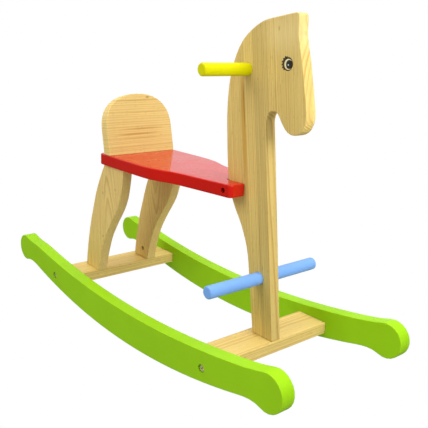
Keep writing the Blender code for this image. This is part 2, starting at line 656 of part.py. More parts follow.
def upright_fixings(name, sign, x, y, pin_x, thickness, nut_side):
    """Bolt from below a cross board, its barrel nut, and the pin beside it."""
    up = (0, 0, 1)
    base = cross_top(sign) + GAP
    under_head = CROSS_UNDERSIDE[sign] + UPRIGHT_BOLT_SINK - GAP
    nut_z = base + LEG_NUT_RISE
    length = nut_z + LEG_NUT_DIAMETER / 2 + 0.001 - under_head
    cap_bolt(f"{name}_bolt", (x, y, under_head), up, length, LEG_BOLT_DIAMETER)
    mouth = y + nut_side * (thickness / 2 - LEG_NUT_SINK)
    inner = y - nut_side * (thickness / 2 - LEG_NUT_WALL - GAP)
    centre, through = (x, (mouth + inner) / 2, nut_z), (x, y, nut_z)
    sizes = (LEG_NUT_DIAMETER, abs(mouth - inner), LEG_BOLT_DIAMETER)
    barrel_nut(f"{name}_nut", centre, (0, nut_side, 0), through, up, *sizes)
    peg(f"{name}_foot_pin", (pin_x, y, cross_top(sign) - PIN_IN_RAIL + GAP), up)


def seat_cross_bolt():
    """The bolt and the sleeve nut through the seat's prongs and the head board."""
    mid = SEAT_TOP - SEAT_THICKNESS / 2
    face = seat_half_width(SEAT_BOLT_X) - SEAT_BOLT_SINK + GAP
    head, sleeve, core = SEAT_BOLT_HEAD_DIAMETER / 2, SEAT_SLEEVE_DIAMETER / 2, SEAT_BOLT_CORE / 2
    top, rim = SEAT_BOLT_HEAD_HEIGHT, 0.0004
    shared = [(-top, head - rim), (rim - top, head), (0, head), (0, sleeve)]
    sleeve_end, shank_end = 1.24 * face, 0.74 * face
    place = (SEAT_BOLT_X, face, mid)
    nut = turned("seat_sleeve_nut", [*shared, (sleeve_end, sleeve)], place, (0, -1, 0), 16)
    mouth = (SEAT_BOLT_X, face - sleeve_end - 0.001, mid)
    cut(nut, drill("cut_sleeve_thread", SEAT_BOLT_CORE + 2 * GAP, mouth, (0, 1, 0), 0.026, 12))
    finish(nut, "zinc")
    profile = [*shared, (shank_end, sleeve), (shank_end, core), (shank_end + 0.020, core)]
    bolt = turned("seat_bolt", profile, (SEAT_BOLT_X, -face, mid), (0, 1, 0), 16)
    start = (SEAT_BOLT_X, -face - top - 0.001, mid)
    cut(bolt, turned("cut_seat_bolt_socket", [(0, 0.0023), (0.0026, 0.0023)], start, (0, 1, 0), 6))
    finish(bolt, "zinc")


def seat_fixings():
    """The screws and pins that hold the legs and the backrest to the seat."""
    seat_cross_bolt()
    up, down = (0, 0, 1), (0, 0, -1)
    for side, word in ((1, "left"), (-1, "right")):
        start = (LEG_SCREW_X, side * LEG_Y, SEAT_TOP - GAP)
        wood_screw(f"leg_top_screw_{word}", start, down, LEG_SCREW_LENGTH)
        start = (LEG_TOP_PIN_X, side * LEG_Y, SEAT_UNDERSIDE + PIN_IN_RAIL - 2 * GAP)
        peg(f"leg_top_pin_{word}", start, down)
        start = (BACKREST_SCREW_X, side * BACKREST_SCREW_Y, SEAT_UNDERSIDE + GAP)
        wood_screw(f"backrest_screw_{word}", start, up, BACKREST_SCREW_LENGTH)


def main():
    """Build every piece and hang them all on one empty."""
    clear_scene()
    leg_bolts = [(LEG_BOLT_X, side * LEG_Y) for side in (1, -1)]
    leg_pins = [(LEG_FOOT_PIN_X, side * LEG_Y) for side in (1, -1)]
    make_rocker("rocker_left", 1)
    make_rocker("rocker_right", -1)
    make_cross_board("cross_board_front", 1, [(neck_bolt_x(), 0)], [(neck_pin_x(), 0)])
    make_cross_board("cross_board_rear", -1, leg_bolts, leg_pins)
    make_head()
    make_seat()
    make_backrest()
    make_leg("rear_leg_left", 1)
    make_leg("rear_leg_right", -1)
    make_dowel("handlebar", HANDLE_DIAMETER, HANDLE_LENGTH, HANDLE_X, HANDLE_Z, "yellow_paint")
    make_dowel("footrest", FOOTREST_DIAMETER, FOOTREST_LENGTH, FOOTREST_X, FOOTREST_Z, "blue_paint")
    rocker_fixings(1, "left")
    rocker_fixings(-1, "right")
    upright_fixings("neck", 1, neck_bolt_x(), 0, neck_pin_x(), HEAD_THICKNESS, 1)
    for side, word in ((1, "left"), (-1, "right")):
        upright_fixings(f"leg_{word}", -1, LEG_BOLT_X, side * LEG_Y, LEG_FOOT_PIN_X, LEG_THICKNESS, -side)
    seat_fixings()
    anchor = bpy.data.objects.new("rocking_horse", None)
    anchor.location.x = -rocker_middle()
    bpy.context.scene.collection.objects.link(anchor)
    for obj in bpy.data.objects:
        if obj != anchor:
            obj.parent = anchor  # the pieces and the tools that cut them move together


main()
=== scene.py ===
"""Looks of a child's rocking horse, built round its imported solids.

+Z is up, +X the way the horse faces, +Y its left, and lengths are in metres unless a comment says
otherwise. Every solid keeps its own mesh. This script softens its shading, gives it its wood, paint or
plating, and adds the printed eyes, the floor, the light and the camera.
"""

from __future__ import annotations

import logging
import math
from abc import ABC, abstractmethod
from collections.abc import Callable, Mapping, Sequence
from dataclasses import dataclass
from enum import Enum
from typing import ClassVar, TypeAlias

import bpy
import numpy as np
from mathutils import Matrix, Vector
from numpy.typing import NDArray

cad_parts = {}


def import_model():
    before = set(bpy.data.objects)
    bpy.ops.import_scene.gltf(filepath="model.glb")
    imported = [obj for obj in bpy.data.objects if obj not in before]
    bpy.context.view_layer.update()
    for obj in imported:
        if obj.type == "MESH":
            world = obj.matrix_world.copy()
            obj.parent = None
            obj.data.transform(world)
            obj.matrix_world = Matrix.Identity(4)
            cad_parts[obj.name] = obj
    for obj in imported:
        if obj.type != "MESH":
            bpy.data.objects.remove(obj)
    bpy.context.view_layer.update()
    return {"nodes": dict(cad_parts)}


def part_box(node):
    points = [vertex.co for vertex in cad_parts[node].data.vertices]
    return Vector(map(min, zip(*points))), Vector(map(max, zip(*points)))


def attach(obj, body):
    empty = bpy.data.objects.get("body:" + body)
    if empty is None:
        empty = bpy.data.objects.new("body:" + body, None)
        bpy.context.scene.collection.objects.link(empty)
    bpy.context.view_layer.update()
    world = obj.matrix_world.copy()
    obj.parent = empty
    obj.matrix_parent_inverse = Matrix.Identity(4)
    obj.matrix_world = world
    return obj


LOG = logging.getLogger("rocking_horse")
BODY = "root"
MILLIMETRE = 0.001
WHITE = (1.0, 1.0, 1.0, 1.0)

Socket: TypeAlias = bpy.types.NodeSocket
Sockets: TypeAlias = bpy.types.NodeOutputs
Solid: TypeAlias = bpy.types.Object
Solids: TypeAlias = Mapping[str, Solid]
Feed: TypeAlias = Socket | float | tuple[float, ...]
Colour: TypeAlias = tuple[float, float, float]
Point: TypeAlias = tuple[float, float, float]
Grid: TypeAlias = NDArray[np.float64]
Outline: TypeAlias = Callable[[Grid], Grid]


# Node wiring


class Wiring:
    """Adds nodes to one node tree and joins their sockets.

    Args:
        tree: The node tree that the nodes go into.
    """

    def __init__(self, tree: bpy.types.NodeTree) -> None:
        """Takes the tree to wire."""
        self.tree = tree

    def feed(self, socket: Socket, value: Feed) -> None:
        """Joins a socket to another one, or sets its constant.

        Args:
            socket: The input to feed.
            value: The output that feeds it, or the constant.
        """
        if isinstance(value, Socket):
            self.tree.links.new(value, socket)
        else:
            socket.default_value = value

    def node(
        self, kind: str, inputs: Mapping[str | int, Feed] | None = None, **settings: object
    ) -> bpy.types.Node:
        """Adds one node.

        Args:
            kind: The node's type name.
            inputs: What feeds its inputs, by name or number.
            **settings: The node's own settings.

        Returns:
            The new node.
        """
        made = self.tree.nodes.new(kind)
        for name, setting in settings.items():
            setattr(made, name, setting)
        for key, value in (inputs or {}).items():
            self.feed(made.inputs[key], value)
        return made

    def math(self, operation: str, *terms: Feed) -> Socket:
        """The result of a Math node: Blender's name for the sum, then its numbers in order."""
        return self.node("ShaderNodeMath", dict(enumerate(terms)), operation=operation).outputs[0]

    def times(self, first: Feed, second: Feed) -> Socket:
        """The product of two numbers."""
        return self.math("MULTIPLY", first, second)

    def vector(self, operation: str, *terms: Feed) -> Socket:
        """The vector from a Vector Math node: Blender's name for the sum, then its vectors in order."""
        return self.node("ShaderNodeVectorMath", dict(enumerate(terms)), operation=operation).outputs[0]

    def length(self, vector: Feed) -> Socket:
        """The length of a vector."""
        return self.node("ShaderNodeVectorMath", {0: vector}, operation="LENGTH").outputs["Value"]

    def dot(self, first: Feed, second: Feed) -> Socket:
        """The dot product of two vectors."""
        fed = {0: first, 1: second}
        return self.node("ShaderNodeVectorMath", fed, operation="DOT_PRODUCT").outputs["Value"]

    def scaled(self, vector: Feed, factor: Feed) -> Socket:
        """A vector times a number."""
        fed = {0: vector, "Scale": factor}
        return self.node("ShaderNodeVectorMath", fed, operation="SCALE").outputs[0]

    def glow(self, kind: str, strength: Feed) -> Socket:
        """White light of a strength, from a shader node of one kind."""
        return self.node(kind, {"Color": WHITE, "Strength": strength}).outputs[0]

    def step(self, value: Feed, low: Feed, high: Feed, start: Feed = 0.0, end: Feed = 1.0) -> Socket:
        """A smooth step of a value: start below low, end above high, and an S between them."""
        fed = {"Value": value, "From Min": low, "From Max": high, "To Min": start, "To Max": end}
        return self.node("ShaderNodeMapRange", fed, interpolation_type="SMOOTHSTEP").outputs[0]

    def noise(self, vector: Feed, scale: Feed, detail: float = 2.0, roughness: float = 0.5) -> Sockets:
        """A soft noise with its middle near one half.

        Args:
            vector: Where it is read.
            scale: How many lumps fit in one unit, or in one unit along each axis.
            detail: How many finer layers it has.
            roughness: How strong the finer layers are.

        Returns:
            The outputs Fac and Color.
        """
        if isinstance(scale, tuple):
            vector, scale = self.vector("MULTIPLY", vector, scale), 1.0
        fed = {"Vector": vector, "Scale": scale, "Detail": detail, "Roughness": roughness}
        return self.node("ShaderNodeTexNoise", fed).outputs

    def bump(self, height: Feed, strength: float, depth: float) -> Socket:
        """The normal of a relief of a depth in metres, from its height."""
        fed = {"Height": height, "Strength": strength, "Distance": depth}
        return self.node("ShaderNodeBump", fed).outputs[0]

    def blend(self, share: Feed, first: Feed, second: Feed, mode: str = "MIX") -> Socket:
        """Blends two colours.

        Args:
            share: How much of the second colour, from 0 to 1.
            first: The colour below.
            second: The colour above.
            mode: Blender's name for the blend.

        Returns:
            The blended colour.
        """
        fed = {0: share, 6: opaque(first), 7: opaque(second)}
        mixed = self.node("ShaderNodeMix", fed, data_type="RGBA", blend_type=mode, clamp_result=True)
        return mixed.outputs[2]


def fresh_wiring(owner: bpy.types.Material | bpy.types.World) -> Wiring:
    """The wiring of a material or a world, emptied of its nodes."""
    owner.use_nodes = True
    owner.node_tree.nodes.clear()
    return Wiring(owner.node_tree)


def opaque(colour: Feed) -> Feed:
    """A colour of three parts with full alpha added; a socket or a longer colour stays as it is."""
    return (*colour, 1.0) if isinstance(colour, tuple) and len(colour) == 3 else colour


# Node groups that several finishes or solids share


class Kind(Enum):
    """What a group's socket carries."""

    NUMBER = "NodeSocketFloat"
    VECTOR = "NodeSocketVector"
    GEOMETRY = "NodeSocketGeometry"


@dataclass(frozen=True)
class Port:
    """One socket of a node group.

    Args:
        name: The socket's name.
        kind: What it carries.
    """

    name: str
    kind: Kind = Kind.NUMBER


class Effect(ABC):
    """A node group that is built once and used in many places."""

    title: ClassVar[str]
    system: ClassVar[str] = "ShaderNodeTree"
    takes: ClassVar[tuple[Port, ...]]
    gives: ClassVar[tuple[Port, ...]]

    @classmethod
    def tree(cls) -> bpy.types.NodeTree:
        """The group's node tree, built the first time it is asked for.

        Returns:
            The node tree.
        """
        found = bpy.data.node_groups.get(cls.title)
        if found is not None:
            return found
        made = bpy.data.node_groups.new(cls.title, cls.system)
        for port in cls.takes:
            made.interface.new_socket(name=port.name, in_out="INPUT", socket_type=port.kind.value)
        for port in cls.gives:
            made.interface.new_socket(name=port.name, in_out="OUTPUT", socket_type=port.kind.value)
        wiring = Wiring(made)
        given = wiring.node("NodeGroupInput").outputs
        results = cls.wire(wiring, given)
        wiring.node("NodeGroupOutput", results)
        return made

    @classmethod
    @abstractmethod
    def wire(cls, w: Wiring, given: Sockets) -> dict[str, Feed]:
        """Wires the inside of the group.

        Args:
            w: The wiring of the group's tree.
            given: The group's inputs.

        Returns:
            What feeds each output.
        """

    @classmethod
    def place(cls, w: Wiring, **feeds: Feed) -> Sockets:
        """Puts the group into a material.

        Args:
            w: The wiring of the material's tree.
            **feeds: What feeds each input, with _ for a space in its name.

        Returns:
            The placed group's outputs.
        """
        placed = w.node("ShaderNodeGroup", node_tree=cls.tree())
        for name, value in feeds.items():
            w.feed(placed.inputs[name.replace("_", " ").capitalize()], value)
        return placed.outputs


class GrowthRings(Effect):
    """Bands of latewood round a pith that runs along the board.

    The distance from the pith, bent by a slow noise that is stretched along the grain, is divided by the
    ring spacing. The fraction left over rises slowly to the dark latewood and drops quickly after it.
    """

    title = "growth rings"
    takes = (Port("Board", Kind.VECTOR), Port("Pith", Kind.VECTOR), Port("Spacing"), Port("Waviness"))
    gives = (Port("Latewood"), Port("Ring tone"))

    @classmethod
    def wire(cls, w: Wiring, given: Sockets) -> dict[str, Feed]:
        """Wires the rings: bend, distance from the pith, fraction of a ring, then two smooth steps."""
        slow = w.noise(given["Board"], (19.0, 19.0, 2.4), detail=2.5)["Color"]
        swing = w.vector("SUBTRACT", slow, (0.5, 0.5, 0.5))
        bend = w.scaled(swing, given["Waviness"])
        from_pith = w.vector("SUBTRACT", w.vector("ADD", given["Board"], bend), given["Pith"])
        radius = w.length(w.vector("MULTIPLY", from_pith, (1.0, 1.0, 0.0)))
        rings = w.math("DIVIDE", radius, given["Spacing"])
        seasons = w.noise(w.node("ShaderNodeCombineXYZ", {0: rings}).outputs[0], 0.37, detail=1.0)["Fac"]
        uneven = w.math("MULTIPLY_ADD", seasons, 2.6, rings)
        part = w.math("FRACT", uneven)
        late = w.times(w.step(part, 0.25, 0.84), w.step(part, 0.88, 1.0, 1.0, 0.0))
        late = w.math("POWER", late, 1.6)
        number = w.math("FLOOR", uneven)
        own = w.node("ShaderNodeTexWhiteNoise", {"W": number}, noise_dimensions="1D").outputs["Value"]
        return {"Latewood": late, "Ring tone": own}


class WoodFibre(Effect):
    """Hair-thin streaks along the grain, and the short dark dashes of resin canals."""

    title = "wood fibre"
    takes = (Port("Board", Kind.VECTOR),)
    gives = (Port("Streak"), Port("Band"), Port("Dash"))

    @classmethod
    def wire(cls, w: Wiring, given: Sockets) -> dict[str, Feed]:
        """Wires three stretched noises: streaks 1 mm wide, bands 6 mm wide, and sparse dashes."""
        board = given["Board"]
        streak = w.noise(board, (780.0, 780.0, 11.0), roughness=0.6)["Fac"]
        band = w.noise(board, (150.0, 150.0, 3.2))["Fac"]
        dash = w.noise(board, (1300.0, 1300.0, 105.0), detail=0.0)["Fac"]
        return {
            "Streak": w.step(streak, 0.28, 0.72),
            "Band": w.step(band, 0.30, 0.70),
            "Dash": w.step(dash, 0.70, 0.80),
        }


class BoardMark(Effect):
    """A soft oval mark in a board: a knot, a resin streak, a stain, a small split or a painted highlight."""

    title = "board mark"
    takes = (
        *(Port(name, Kind.VECTOR) for name in ("Board", "Centre", "Reach")),
        *(Port(name) for name in ("Softness", "Ragged")),
    )
    gives = (Port("Mask"),)

    @classmethod
    def wire(cls, w: Wiring, given: Sockets) -> dict[str, Feed]:
        """Wires the distance from the centre in units of the reach, roughened by a noise, as a step."""
        ripple = w.noise(given["Board"], (260.0, 260.0, 30.0))["Fac"]
        apart = w.vector("DIVIDE", w.vector("SUBTRACT", given["Board"], given["Centre"]), given["Reach"])
        rough = w.times(w.math("SUBTRACT", ripple, 0.5), given["Ragged"])
        distance = w.math("ADD", w.length(apart), rough)
        start = w.math("SUBTRACT", 1.0, given["Softness"])
        return {"Mask": w.step(distance, start, 1.0, 1.0, 0.0)}


class Mottle(Effect):
    """Slow cloudy variation, the same in every direction."""

    title = "mottle"
    takes = (Port("Place", Kind.VECTOR), Port("Lumps"))
    gives = (Port("Cloud"),)

    @classmethod
    def wire(cls, w: Wiring, given: Sockets) -> dict[str, Feed]:
        """Wires one noise of Lumps per metre, stretched to fill 0 to 1."""
        cloud = w.noise(given["Place"], given["Lumps"], detail=3.0)["Fac"]
        return {"Cloud": w.step(cloud, 0.3, 0.7)}


class PaintSkin(Effect):
    """The surface of sprayed paint over wood: orange peel, and the grain showing faintly through it."""

    title = "paint skin"
    takes = (Port("Board", Kind.VECTOR), Port("Peel"), Port("Grain"))
    gives = (Port("Height"), Port("Pool"))

    @classmethod
    def wire(cls, w: Wiring, given: Sockets) -> dict[str, Feed]:
        """Wires a fine round noise and a noise stretched along the grain, added with their own strengths."""
        board = given["Board"]
        peel = w.noise(board, 420.0, detail=1.0)["Fac"]
        grain = w.noise(board, (520.0, 520.0, 14.0))["Fac"]
        pool = w.noise(board, 26.0, detail=3.0)["Fac"]
        fine = w.times(peel, given["Peel"])
        height = w.math("MULTIPLY_ADD", grain, given["Grain"], fine)
        return {"Height": height, "Pool": w.step(pool, 0.3, 0.7)}


# Mask for the lighter colour on rounded paint edges: partly thinner paint, partly a painted highlight.
class EdgeThinningAndSheen(Effect):
    """Where a board's rounded edges are: the surface there faces neither across the board nor along it."""

    title = "edge thinning and sheen"
    takes = (Port("Facing", Kind.VECTOR), Port("Through", Kind.VECTOR), Port("Board", Kind.VECTOR))
    gives = (Port("Edge"),)

    @classmethod
    def wire(cls, w: Wiring, given: Sockets) -> dict[str, Feed]:
        """Wires the share of the normal that points through the board, as a peak halfway, broken by noise."""
        share = w.math("ABSOLUTE", w.dot(given["Facing"], given["Through"]))
        peak = w.times(w.step(share, 0.12, 0.45), w.step(share, 0.82, 0.97, 1.0, 0.0))
        # Noise breaks the edge mask into patches of thin paint and painted highlight.
        worn = w.step(w.noise(given["Board"], 90.0, detail=3.0)["Fac"], 0.32, 0.62)
        return {"Edge": w.times(peak, worn)}


# How a pattern lies on a board


@dataclass(frozen=True)
class Lay:
    """How the grain lies in the object: a board's own across, through and along directions.

    Args:
        across: Direction over the width of the board.
        along: Direction of the grain.
        origin: The point of the object that is the pattern's zero.
    """

    across: Point
    along: Point
    origin: Point = (0.0, 0.0, 0.0)

    def rows(self) -> Matrix:
        """The directions as rows: across, through, along."""
        across, along = Vector(self.across).normalized(), Vector(self.along).normalized()
        return Matrix((across, along.cross(across), along))

    def through(self) -> Point:
        """The direction through the board's thickness, in the object."""
        return tuple(self.rows()[1])

    def place(self, point: Sequence[float]) -> Point:
        """A point of the object in the board's own directions."""
        return tuple(self.rows() @ (Vector(point) - Vector(self.origin)))

    def point(self, across: float, along: float) -> Point:
        """The point of the object so many millimetres across the board and along its grain."""
        rows = self.rows()
        return tuple(Vector(self.origin) + (rows[0] * across + rows[2] * along) * MILLIMETRE)

    def coordinates(self, w: Wiring) -> Socket:
        """Object coordinates turned into the board's own directions."""
        rows = self.rows()
        fed = {
            "Vector": w.node("ShaderNodeTexCoord").outputs["Object"],
            "Location": tuple(-(rows @ Vector(self.origin))),
            "Rotation": tuple(rows.to_euler()),
        }
        return w.node("ShaderNodeMapping", fed, vector_type="POINT").outputs[0]


LENGTHWAYS = Lay(across=(0.0, 0.0, 1.0), along=(1.0, 0.0, 0.0))
SIDEWAYS = Lay(across=(1.0, 0.0, 0.0), along=(0.0, 1.0, 0.0))


def leaning(degrees: float) -> Lay:
    """A lay whose grain leans back from upright by an angle, seen from the side."""
    lean = math.radians(degrees)
    return Lay(across=(math.cos(lean), 0.0, math.sin(lean)), along=(-math.sin(lean), 0.0, math.cos(lean)))


# Finishes


class Finish(ABC):
    """Something a surface is made of or covered with."""

    name: str

    def material(self) -> bpy.types.Material:
        """The finish as a material with one Principled BSDF.

        Returns:
            The new material.
        """
        made = bpy.data.materials.new(self.name)
        wiring = fresh_wiring(made)
        shader = wiring.node("ShaderNodeBsdfPrincipled")
        wiring.node("ShaderNodeOutputMaterial", {"Surface": shader.outputs[0]})
        for socket, value in self.surface(wiring).items():
            wiring.feed(shader.inputs[socket], opaque(value))
        return made

    @abstractmethod
    def surface(self, w: Wiring) -> dict[str, Feed]:
        """Wires the finish.

        Args:
            w: The wiring of the material.

        Returns:
            What feeds each socket of the Principled BSDF.
        """


@dataclass(frozen=True)
class Mark:
    """A mark in a wooden board, or a painted highlight on it.

    Args:
        centre: Its middle, in the object.
        width: Half its width across the grain.
        length: Half its length along the grain.
        colour: Its colour.
        strength: How much it covers the wood, from 0 to 1.
        softness: How much of its radius fades out, from 0 to 1.
        ragged: How uneven its outline is.
        depth: Half its reach through the board.
    """

    centre: Point
    width: float
    length: float
    colour: Colour
    strength: float = 0.6
    softness: float = 0.8
    ragged: float = 0.5
    depth: float = 0.03


@dataclass(frozen=True)
class Strip:
    """One of the strips that a board is glued up from.

    Args:
        edge: Where it starts, across the board.
        tone: Its brightness against the wood's own, from 0, darkest, to 1, lightest.
    """

    edge: float
    tone: float


@dataclass(frozen=True)
class Pine(Finish):
    """Varnished pine, with its rings, fibre, glued strips and marks.

    Args:
        name: The material's name.
        lay: How the grain lies.
        early: Colour of the pale wood.
        late: Colour of the latewood lines.
        pith: The tree's centre in the board's directions.
        spacing: Distance between rings.
        waviness: How far the rings swing.
        contrast: How dark the latewood lines are, from 0 to 1.
        cloudy: How dark the bands between them are, from 0 to 1.
        streaky: How dark the fibre's streaks are, from 0 to 1.
        dashed: How dark the resin canals are, from 0 to 1.
        canal: Colour of the resin canals.
        strips: The strips of the board, from one edge to the other.
        marks: Knots, streaks and stains, and on the head a painted highlight.
        tone_range: Brightness of the darkest and of the lightest strip.
        figure_shift: How far a strip of tone 1 is moved along its tree.
        relief: Depth of the grain's relief.
    """

    name: str
    lay: Lay
    early: Colour = (0.84, 0.64, 0.21)
    late: Colour = (0.52, 0.30, 0.06)
    pith: Point = (0.02, -0.16, 0.0)
    spacing: float = 0.0042
    waviness: float = 0.012
    contrast: float = 0.5
    cloudy: float = 0.08
    streaky: float = 0.26
    dashed: float = 0.45
    canal: Colour = (0.36, 0.19, 0.05)
    strips: tuple[Strip, ...] = ()
    marks: tuple[Mark, ...] = ()
    tone_range: tuple[float, float] = (0.84, 1.08)
    figure_shift: Point = (0.043, 0.017, 0.9)
    relief: float = 0.00008

    def strip_tone(self, w: Wiring, board: Feed) -> Feed:
        """The tone of the strip that a point is in.

        Args:
            w: The wiring of the material.
            board: The board coordinates.

        Returns:
            A number from 0 to 1, the same all over one strip.
        """
        if not self.strips:
            return 0.5
        first, last = self.strips[0].edge, self.strips[-1].edge
        reach = last - first + MILLIMETRE
        across = w.node("ShaderNodeSeparateXYZ", {0: board}).outputs["X"]
        share = w.math("DIVIDE", w.math("SUBTRACT", across, first), reach)
        ramp = w.node("ShaderNodeValToRGB", {0: share})
        ramp.color_ramp.interpolation = "CONSTANT"
        stops = ramp.color_ramp.elements
        stops.remove(stops[-1])
        for strip in self.strips:
            place = (strip.edge - first) / reach
            stop = stops.new(place) if strip is not self.strips[0] else stops[0]
            stop.color = (strip.tone, strip.tone, strip.tone, 1.0)
        return ramp.outputs["Color"]

    def shifted(self, w: Wiring, board: Feed, tone: Feed) -> Feed:
        """Board coordinates moved by the strip's tone, so that each strip has its own figure."""
        return w.vector("ADD", board, w.scaled(self.figure_shift, tone)) if self.strips else board

    def marked(self, w: Wiring, board: Feed, wood: Feed) -> Feed:
        """The wood's colour with the marks laid over it.

        Args:
            w: The wiring of the material.
            board: The board coordinates.
            wood: The colour without marks.

        Returns:
            The colour with marks.
        """
        for mark in self.marks:
            mask = BoardMark.place(
                w, board=board, centre=self.lay.place(mark.centre),
                reach=(mark.width, mark.depth, mark.length), softness=mark.softness, ragged=mark.ragged,
            )["Mask"]
            wood = w.blend(w.times(mask, mark.strength), wood, mark.colour)
        return wood

    def surface(self, w: Wiring) -> dict[str, Feed]:
        """Wires the wood: rings and fibre per strip, the strip's tone, the marks, and a fine relief."""
        board = self.lay.coordinates(w)
        tone = self.strip_tone(w, board)
        own = self.shifted(w, board, tone)
        rings = GrowthRings.place(w, board=own, pith=self.pith, spacing=self.spacing, waviness=self.waviness)
        fibre = WoodFibre.place(w, board=own)
        cloud = Mottle.place(w, place=own, lumps=11.0)["Cloud"]
        line = w.times(rings["Latewood"], w.math("MULTIPLY_ADD", rings["Ring tone"], 0.5, 0.5))
        wood = w.blend(w.times(line, self.contrast), self.early, self.late)
        wood = w.blend(w.times(fibre["Streak"], self.streaky), wood, self.late)
        wood = w.blend(w.times(fibre["Band"], self.cloudy), wood, self.late)
        wood = w.blend(w.times(fibre["Dash"], self.dashed), wood, self.canal)
        level = w.step(tone, 0.0, 1.0, *self.tone_range) if self.strips else 1.0
        level = w.times(level, w.math("MULTIPLY_ADD", cloud, 0.06, 0.97))
        grey = w.node("ShaderNodeCombineXYZ", {0: level, 1: level, 2: level}).outputs[0]
        wood = w.blend(1.0, wood, grey, "MULTIPLY")
        wood = self.marked(w, board, wood)
        relief = w.math("ADD", w.times(line, 0.6), w.times(fibre["Streak"], 0.4))
        return {
            "Base Color": wood,
            "Roughness": w.step(relief, 0.0, 1.0, 0.46, 0.56),
            "Normal": w.bump(relief, 0.35, self.relief),
            "Specular IOR Level": 0.18,
            "Coat Weight": 0.04,
            "Coat Roughness": 0.32,
        }


@dataclass(frozen=True)
class Paint(Finish):
    """Sprayed paint on wood.

    Args:
        name: The material's name.
        lay: How the grain under the paint lies.
        colour: The paint's colour.
        thin: The colour on rounded edges, where the paint is thin and lighter as a painted highlight.
        roughness: Roughness of the paint.
        coat: How much clear coat lies on it, from 0 to 1.
        coat_roughness: Roughness of the clear coat.
        specular: Specular level of the paint itself.
        peel: Height of the orange peel, as a share of the relief.
        grain: Height of the grain that shows through, as a share of the relief.
        relief: Depth of the whole relief.
        cloudy: How strong the darker clouds in the colour are, from 0 to 1.
        shade: Brightness of those clouds, as a share of the colour's.
        thin_and_sheen: How strong the edge colour is on rounded edges, from 0 to 1: thinner paint and a
            painted highlight.
    """

    name: str
    lay: Lay
    colour: Colour
    thin: Colour
    roughness: float = 0.42
    coat: float = 0.03
    coat_roughness: float = 0.22
    specular: float = 0.06
    peel: float = 0.5
    grain: float = 0.5
    relief: float = 0.00006
    cloudy: float = 0.7
    shade: float = 0.93
    thin_and_sheen: float = 0.35

    def surface(self, w: Wiring) -> dict[str, Feed]:
        """Wires the paint: cloudy colour, lighter edges from thinner paint and a painted highlight, and a
        relief of orange peel and grain.
        """
        board = self.lay.coordinates(w)
        skin = PaintSkin.place(w, board=board, peel=self.peel, grain=self.grain)
        facing = w.node("ShaderNodeNewGeometry").outputs["Normal"]
        edge = EdgeThinningAndSheen.place(w, facing=facing, through=self.lay.through(), board=board)["Edge"]
        cloud = Mottle.place(w, place=board, lumps=17.0)["Cloud"]
        shade = tuple(self.shade * part for part in self.colour)
        body = w.blend(w.times(cloud, self.cloudy), self.colour, shade)
        # Rounded edges get the lighter colour: thinner paint there, and a painted highlight.
        body = w.blend(w.times(edge, self.thin_and_sheen), body, self.thin)
        rough = w.step(skin["Pool"], 0.0, 1.0, self.roughness - 0.04, self.roughness + 0.05)
        return {
            "Base Color": body,
            "Roughness": w.math("MULTIPLY_ADD", edge, 0.08, rough),
            "Normal": w.bump(skin["Height"], 0.5, self.relief),
            "Specular IOR Level": self.specular,
            "Coat Weight": self.coat,
            "Coat Roughness": self.coat_roughness,
        }


@dataclass(frozen=True)
class Zinc(Finish):
    """Yellow zinc plating, cloudy and finely brushed.

    Args:
        name: The material's name.
        bright: Colour of the bright plating.
        dull: Colour of the dull patches.
        relief: Depth of the turning marks.
    """

    name: str
    bright: Colour = (0.92, 0.84, 0.56)
    dull: Colour = (0.74, 0.64, 0.38)
    relief: float = 0.00003

    def surface(self, w: Wiring) -> dict[str, Feed]:
        """Wires the plating: two cloud sizes for colour and roughness, and fine turning marks as relief."""
        place = w.node("ShaderNodeTexCoord").outputs["Object"]
        cloud = Mottle.place(w, place=place, lumps=380.0)["Cloud"]
        film = Mottle.place(w, place=place, lumps=90.0)["Cloud"]
        marks = w.noise(place, 2600.0, detail=1.0)["Fac"]
        return {
            "Base Color": w.blend(w.times(cloud, 0.7), self.bright, self.dull),
            "Metallic": 0.45,
            "Roughness": w.step(film, 0.0, 1.0, 0.30, 0.46),
            "Normal": w.bump(marks, 0.3, self.relief),
        }


@dataclass(frozen=True)
class Ink(Finish):
    """Printed ink, nearly flat, with a slightly uneven film.

    Args:
        name: The material's name.
        colour: The ink's colour.
        worn: The colour where the film is thin.
        roughness: Roughness of the film.
        coat: How glossy the lacquer over it is, from 0 to 1.
        relief: Depth of the film's unevenness.
    """

    name: str
    colour: Colour
    worn: Colour
    roughness: float = 0.35
    coat: float = 0.2
    relief: float = 0.00002

    def surface(self, w: Wiring) -> dict[str, Feed]:
        """Wires the ink: its film thickness as cloudy colour and roughness, and a faint relief."""
        place = w.node("ShaderNodeTexCoord").outputs["Object"]
        film = Mottle.place(w, place=place, lumps=520.0)["Cloud"]
        return {
            "Base Color": w.blend(w.times(film, 0.5), self.colour, self.worn),
            "Roughness": w.step(film, 0.0, 1.0, self.roughness, self.roughness + 0.1),
            "Normal": w.bump(film, 0.2, self.relief),
            "Coat Weight": self.coat,
            "Coat Roughness": 0.12,
        }


